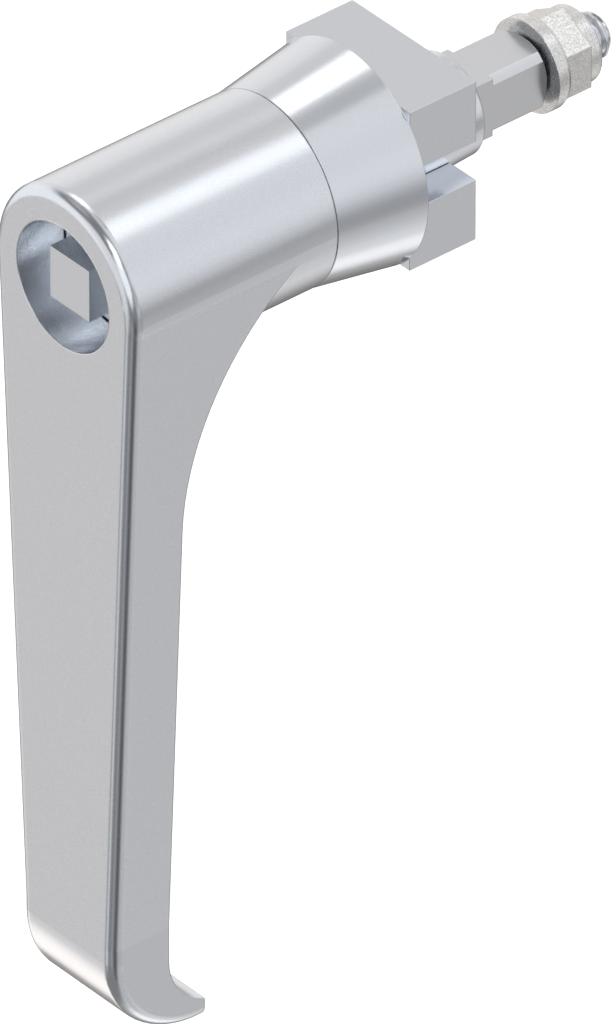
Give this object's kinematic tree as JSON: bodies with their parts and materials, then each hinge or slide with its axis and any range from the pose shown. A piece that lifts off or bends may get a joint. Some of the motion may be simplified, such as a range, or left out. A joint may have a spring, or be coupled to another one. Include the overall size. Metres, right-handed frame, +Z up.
{
  "type": "l-shaped handle",
  "caption": "L-shaped quarter-turn handle with a square-key lock core, a conical collar with a square panel block, and a square spindle with a flange nut for a latch cam.",
  "frame": {"origin": "on the turning axis, at the collar's flat back face, which seats on the front of the panel", "axes": "+X to the right of someone facing the handle, +Y back through the panel along the turning axis, +Z up with the lever hanging down"},
  "size_m": [0.0286, 0.0808, 0.1197],
  "materials": {
    "satin_casting": "satin-plated zinc die casting",
    "satin_housing": "satin-plated zinc die casting",
    "core_metal": "satin-plated zinc die casting",
    "spindle_steel": "drawn square steel, turned and threaded",
    "pin_steel": "bright spring steel",
    "zinc_nut": "flaked zinc coating",
    "seal_rubber": "matte moulded rubber"
  },
  "bodies": {
    "housing": {"housing": "satin_housing"},
    "handle": {"handle": "satin_casting", "core_pin": "pin_steel", "shaft_seal": "seal_rubber", "retaining_ring": "pin_steel", "spindle": "spindle_steel", "spindle_pin": "pin_steel", "flange_nut": "zinc_nut"},
    "core": {"lock_core": "core_metal", "core_seal": "seal_rubber"},
    "slide": {"lock_slide": "pin_steel"}
  },
  "joints": [
    {"name": "handle_turn", "type": "hinge", "parent": "housing", "child": "handle", "pos_m": [0, 0, 0], "axis": [0, 1, 0], "range_deg": [0, 90]},
    {"name": "core_turn", "type": "hinge", "parent": "handle", "child": "core", "pos_m": [0, -0.03, 0], "axis": [0, 1, 0], "range_deg": [0, 90]},
    {"name": "slide_throw", "type": "slide", "parent": "handle", "child": "slide", "axis": [1, 0, 0], "range_m": [0, 0.0022]}
  ],
  "couplings": [
    {"joint": "slide_throw", "follows": "core_turn", "m_per_rad": 0.0014006}
  ]
}
